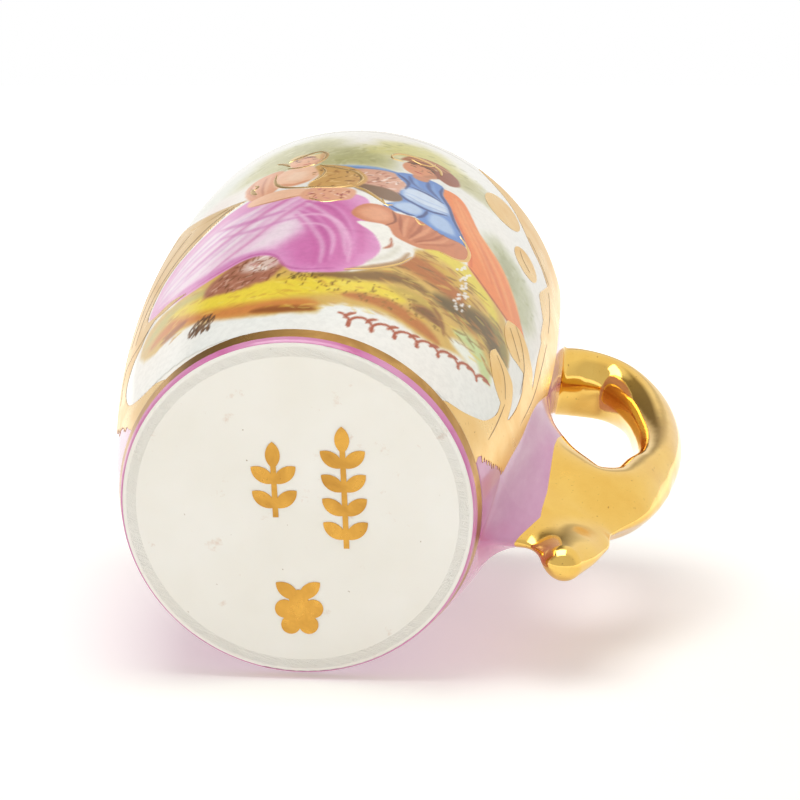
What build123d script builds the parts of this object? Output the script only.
from build123d import *
import os
from math import asin, cos, radians, sin, sqrt

# A porcelain shaving mug standing on its foot. The origin is the centre of the foot, on the
# surface that the mug stands on. +Z is up, the handle points to +X and the picture to -Y.

# --- Driving dimensions, millimetres ---------------------------------------------------------
MUG_HEIGHT = 100.0        # foot to lip
FOOT_RADIUS = 28.5        # sharp corner of wall and foot, before rounding
BELLY_RADIUS = 39.8       # widest place of the wall
BELLY_HEIGHT = 81.7       # height of that place
WALL = 3.4
FLOOR_TOP = 5.6           # inside floor
INSIDE_CORNER = 13.0      # round between the inside floor and the wall
FOOT_CORNER = 0.9
FOOT_RING_WIDTH = 1.4     # flat ring that the mug stands on
DISH_DEPTH = 0.7          # hollow of the underside, at the centre
DISH_HALF_WAY = 0.75      # share of that depth half way out to the ring

FILM = 0.12               # thickness of a fired-on colour or gold film
FOOT_LINE_BOTTOM = 0.25   # the foot line starts on the corner, clear of the table
LINE_TOP = 1.5            # and ends here
BAND_TOP = 3.6            # top of the gold band above it

# The handle's centre line in the X-Z plane, from its upper end, inside the wall, round the
# loop to its lower end, inside the flare.
HANDLE_LINE = [(36.5, 92.0), (49.4, 92.0), (58.4, 72.0), (56.4, 45.0), (47.6, 31.6)]
HANDLE_THIN = 4.0         # half thickness in the plane of the loop, at its slimmest
HANDLE_TOP_THICK = 5.0    # the same at the upper end
HANDLE_HALF_WIDTH = 5.2   # half width across the loop, at its slimmest
HANDLE_END_WIDTH = 6.4    # the same at both ends
LOOP_SECTIONS = 9         # sections that the loop is lofted through
# The flare that joins the loop's lower end to the wall: upright ellipses from the wall outwards,
# each (x, middle height, half height, half width).
FLARE = [(31.0, 43.0, 25.0, 11.5), (36.5, 38.5, 17.0, 9.6), (42.0, 34.0, 9.2, 7.2), (50.5, 31.4, 4.6, 4.8)]
SLIP = 0.4                # thickness of the slip that joins the handle to the wall

# The pointed kick under the loop's lower end: level ellipses from the top down, each
# (height, middle x, half length along x, half width).
SPUR = [(31.0, 46.2, 4.4, 4.0), (24.5, 46.4, 6.4, 4.8), (13.0, 44.8, 4.3, 3.9), (4.4, 44.0, 3.0, 3.0)]

PICTURE_TURN = -101.0     # direction of the picture's middle, degrees from +X towards +Y
PICTURE_FLAT = 18.0       # half length of the picture's straight lower edge
PICTURE_BOTTOM = 4.4
PICTURE_CORNER = (28.0, 10.0)    # right-hand points of its outline, seen from its front
PICTURE_SIDE_LOW = (32.1, 25.0)
PICTURE_SIDE_TOP = (36.6, 95.0)
FRAME_START = -191.0      # the gold frame fills the wall between these two directions
FRAME_END = -17.0
FILM_TOP = 97.6           # the colours end here, just under the round lip

MOTIF_TURN = 166.0        # the underside's gold motifs stand at this angle, seen from above
SMALL_SPRIG = (-4.7, -4.2, 13.0, 2)    # middle x and y, length, pairs of leaves
LARGE_SPRIG = (6.6, -5.6, 21.0, 4)
SPRIG_STEM = 0.9          # width of a sprig's stem
LEAF_LENGTH = 4.6
LEAF_WIDTH = 2.4
LEAF_SPREAD = 52.0        # angle between a leaf and the stem
BLOSSOM_PLACE = (3.9, 17.6)
BLOSSOM_RADIUS = 4.1      # over its petals
BLOSSOM_PETALS = 5
PETAL_RADIUS = 1.6
FIRST_LEAVES = 0.4        # height of the lowest pair of leaves, in spacings of the pairs

BEYOND = 5.0              # how far a cutting solid runs past what it cuts

# --- Sizes that follow from them -------------------------------------------------------------
RING_INSIDE = FOOT_RADIUS - FOOT_CORNER - FOOT_RING_WIDTH
flare_out = BELLY_RADIUS - FOOT_RADIUS
WALL_ARC = (BELLY_HEIGHT ** 2 + flare_out ** 2) / (2 * flare_out)   # radius of the wall's arc
ARC_CENTRE = BELLY_RADIUS - WALL_ARC                                # its centre, on X


def wall_point(height, depth=0.0):
    """A point of the wall's section at this height, depth millimetres inside its outer face."""
    arc = WALL_ARC - depth
    return (ARC_CENTRE + sqrt(arc ** 2 - (height - BELLY_HEIGHT) ** 2), height)


def arc_point(turn, arc):
    """A point at an angle on an arc about the centre of the wall's curve."""
    return (ARC_CENTRE + arc * cos(turn), BELLY_HEIGHT + arc * sin(turn))


def lip_turn():
    """Angle on the wall's arc at which the round lip begins."""
    return asin((MUG_HEIGHT - BELLY_HEIGHT - WALL / 2) / (WALL_ARC - WALL / 2))


def dish_arc(depth):
    """The hollow of the underside, from the axis to the ring, depth millimetres lower down."""
    half_way = (RING_INSIDE / 2, DISH_HALF_WAY * DISH_DEPTH - depth)
    return ThreePointArc((0, DISH_DEPTH - depth), half_way, (RING_INSIDE, -depth))


def mug_section(grow=0.0):
    """Half section of the mug; grow moves the outer face and the lip outwards."""
    turn = lip_turn()
    middle = WALL_ARC - WALL / 2
    outer_end = arc_point(turn, WALL_ARC + grow)
    inner_end = arc_point(turn, WALL_ARC - WALL - grow)
    lip_centre = arc_point(turn, middle)
    lip_top = (lip_centre[0], lip_centre[1] + WALL / 2 + grow)
    foot_edge = wall_point(0, -grow)
    half_way = wall_point(MUG_HEIGHT / 2, -grow)
    floor_corner = wall_point(FLOOR_TOP, WALL + grow)
    inner_half_way = wall_point(MUG_HEIGHT / 2, WALL + grow)
    edges = [
        ThreePointArc(foot_edge, half_way, outer_end),
        ThreePointArc(outer_end, lip_top, inner_end),
        ThreePointArc(inner_end, inner_half_way, floor_corner),
        Line(floor_corner, (0, FLOOR_TOP)),
        Line((0, FLOOR_TOP), (0, DISH_DEPTH)),
        dish_arc(0),
        Line((RING_INSIDE, 0), foot_edge),
    ]
    face = make_face(edges)
    corner = face.vertices().sort_by_distance(Vector(*foot_edge, 0))[0]
    face = fillet(corner, FOOT_CORNER + grow)
    corner = face.vertices().sort_by_distance(Vector(*floor_corner, 0))[0]
    return fillet(corner, INSIDE_CORNER)


def spun(section):
    """Turn a half section, drawn with X outwards and Y up, about the mug's axis."""
    return revolve(Plane.XZ * section, axis=Axis.Z)


def film_section(low, high):
    """Half section of a film on the outside of the wall, between two heights."""
    middle = (low + high) / 2
    edges = [
        ThreePointArc(wall_point(low), wall_point(middle), wall_point(high)),
        Line(wall_point(high), wall_point(high, -FILM)),
        ThreePointArc(wall_point(high, -FILM), wall_point(middle, -FILM), wall_point(low, -FILM)),
        Line(wall_point(low, -FILM), wall_point(low)),
    ]
    return make_face(edges)


def film_sector(low, high, start, end):
    """The film turned about the axis from one direction to another, degrees from +X."""
    turned = revolve(Plane.XZ * film_section(low, high), axis=Axis.Z, revolution_arc=end - start)
    return Rot(0, 0, start) * turned


def foot_line_ring():
    """The foot line, which starts on the round corner of the foot."""
    skin = mug_section(FILM) - mug_section()
    height = LINE_TOP - FOOT_LINE_BOTTOM
    strip = Pos(FOOT_RADIUS, FOOT_LINE_BOTTOM + height / 2) * Rectangle(2 * WALL, height)
    return spun(skin & strip)


def picture_outline():
    """The picture's outline seen from its front: rounded below, its sides fanning out upwards."""
    edges = [
        Line((-PICTURE_FLAT, PICTURE_BOTTOM), (PICTURE_FLAT, PICTURE_BOTTOM)),
        ThreePointArc((PICTURE_FLAT, PICTURE_BOTTOM), PICTURE_CORNER, PICTURE_SIDE_LOW),
        Line(PICTURE_SIDE_LOW, PICTURE_SIDE_TOP),
        Line(PICTURE_SIDE_TOP, (-PICTURE_SIDE_TOP[0], PICTURE_SIDE_TOP[1])),
        Line((-PICTURE_SIDE_TOP[0], PICTURE_SIDE_TOP[1]), (-PICTURE_SIDE_LOW[0], PICTURE_SIDE_LOW[1])),
        ThreePointArc((-PICTURE_SIDE_LOW[0], PICTURE_SIDE_LOW[1]),
                      (-PICTURE_CORNER[0], PICTURE_CORNER[1]), (-PICTURE_FLAT, PICTURE_BOTTOM)),
    ]
    return make_face(edges)


def picture_prism():
    """The picture's outline carried straight back to the mug's axis."""
    turn = radians(PICTURE_TURN)
    front = Vector(cos(turn), sin(turn), 0)
    plane = Plane(origin=(0, 0, 0), x_dir=(-sin(turn), cos(turn), 0), z_dir=front)
    return extrude(plane * picture_outline(), amount=2 * BELLY_RADIUS, dir=front)


def ease(start, end, part):
    """Blend from start to end without a corner at either."""
    return start + (end - start) * part * part * (3 - 2 * part)


def handle_loop():
    """The loop of the handle, lofted through ellipses square to its centre line."""
    path = Plane.XZ * Spline(*HANDLE_LINE)
    sections = []
    for step in range(LOOP_SECTIONS):
        part = step / (LOOP_SECTIONS - 1)
        thick = ease(HANDLE_TOP_THICK, HANDLE_THIN, min(1, 2 * part))
        wide = ease(HANDLE_HALF_WIDTH, HANDLE_END_WIDTH, abs(2 * part - 1))
        across = Plane(origin=path @ part, x_dir=(0, 1, 0), z_dir=path % part)
        sections.append(across * Ellipse(wide, thick))
    return loft(sections)


def handle_flare():
    """The broad lower root of the handle."""
    sections = []
    for x, height, half_height, half_width in FLARE:
        across = Plane(origin=(x, 0, height), x_dir=(0, 1, 0), z_dir=(1, 0, 0))
        sections.append(across * Ellipse(half_width, half_height))
    return loft(sections)


def handle_spur():
    """The pointed kick, which ends in a ball."""
    sections = []
    for height, x, half_length, half_width in SPUR:
        sections.append(Pos(x, 0, height) * Ellipse(half_length, half_width))
    height, x, tip_radius, _ = SPUR[-1]
    return loft(sections) + Pos(x, 0, height) * Sphere(tip_radius)


def mug_solid_to(grow):
    """The mug's outer shape filled in, with its face moved outwards, and longer at both ends."""
    low = wall_point(-BEYOND, -grow)
    high = wall_point(MUG_HEIGHT + BEYOND, -grow)
    edges = [
        ThreePointArc(low, wall_point(MUG_HEIGHT / 2, -grow), high),
        Line(high, (0, high[1])),
        Line((0, high[1]), (0, low[1])),
        Line((0, low[1]), low),
    ]
    return spun(make_face(edges))


def slip_joint(end):
    """The pad of slip between the wall and one end of the handle."""
    return (end & mug_solid_to(SLIP)) - mug_solid_to(0)


def leaf():
    """A pointed leaf along +X from the origin."""
    tip = (LEAF_LENGTH, 0)
    sides = [
        ThreePointArc((0, 0), (LEAF_LENGTH / 2, LEAF_WIDTH / 2), tip),
        ThreePointArc(tip, (LEAF_LENGTH / 2, -LEAF_WIDTH / 2), (0, 0)),
    ]
    return make_face(sides)


def leaf_pair(height):
    """Two leaves that spread from a stem at this height."""
    right = Pos(0, height) * Rot(0, 0, 90 - LEAF_SPREAD) * leaf()
    left = Pos(0, height) * Rot(0, 0, 90 + LEAF_SPREAD) * leaf()
    return right + left


def sprig(length, pairs):
    """A generic sprig along +Y: a stem, pairs of leaves and one leaf at the top."""
    stem_length = length - LEAF_LENGTH / 2
    shape = Pos(0, (stem_length - length) / 2) * Rectangle(SPRIG_STEM, stem_length)
    shape += Pos(0, length / 2 - LEAF_LENGTH) * Rot(0, 0, 90) * leaf()
    spacing = (length - LEAF_LENGTH) / pairs
    for number in range(pairs):
        shape += leaf_pair(-length / 2 + (number + FIRST_LEAVES) * spacing)
    return shape


def blossom():
    """A generic flower: a ring of round petals, with two leaves above it."""
    shape = Circle(PETAL_RADIUS)
    reach = BLOSSOM_RADIUS - PETAL_RADIUS
    for number in range(BLOSSOM_PETALS):
        turn = radians(90 + 360 * number / BLOSSOM_PETALS)
        shape += Pos(reach * cos(turn), reach * sin(turn)) * Circle(PETAL_RADIUS)
    return shape + leaf_pair(reach)


def dish_section(depth):
    """Half section of the space from below the foot up to the dished underside."""
    edges = [
        dish_arc(depth),
        Line((RING_INSIDE, -depth), (RING_INSIDE, -BEYOND)),
        Line((RING_INSIDE, -BEYOND), (0, -BEYOND)),
        Line((0, -BEYOND), (0, DISH_DEPTH - depth)),
    ]
    return make_face(edges)


def base_motifs():
    """Two sprigs and a flower of gold film on the dished underside."""
    film = spun(dish_section(0)) - spun(dish_section(FILM))
    shapes = [(*BLOSSOM_PLACE, blossom())]
    for x, y, length, pairs in (SMALL_SPRIG, LARGE_SPRIG):
        shapes.append((x, y, sprig(length, pairs)))
    motifs = []
    for x, y, shape in shapes:
        placed = Pos(x, y, -BEYOND) * Rot(0, 0, MOTIF_TURN) * shape
        motifs.append(film & extrude(placed, amount=2 * BEYOND))
    return motifs


def save(shape, node):
    shape.label = node
    export_step(shape, os.path.join("parts", node + ".step"))


os.makedirs("parts", exist_ok=True)

mug_body = spun(mug_section())
loop = handle_loop()
flare = handle_flare()
whole_handle = loop + flare + handle_spur()

picture = picture_prism()
front_film = film_sector(BAND_TOP, FILM_TOP, FRAME_START, FRAME_END)
back_film = film_sector(BAND_TOP, FILM_TOP, FRAME_END, FRAME_START + 360)
handle_roots = whole_handle & mug_solid_to(2 * SLIP)

save(mug_body, "mug_body")
save(whole_handle - mug_solid_to(SLIP), "handle")
save(slip_joint(loop), "upper_slip_joint")
save(slip_joint(flare), "lower_slip_joint")
save(foot_line_ring(), "foot_line")
save(film_sector(LINE_TOP, BAND_TOP, 0, 360), "foot_band")
save(front_film & picture, "picture_transfer")
save(front_film - picture - handle_roots, "frame_gilding")
save(back_film - handle_roots, "ground_colour")
save(Compound(children=base_motifs()), "base_motifs")
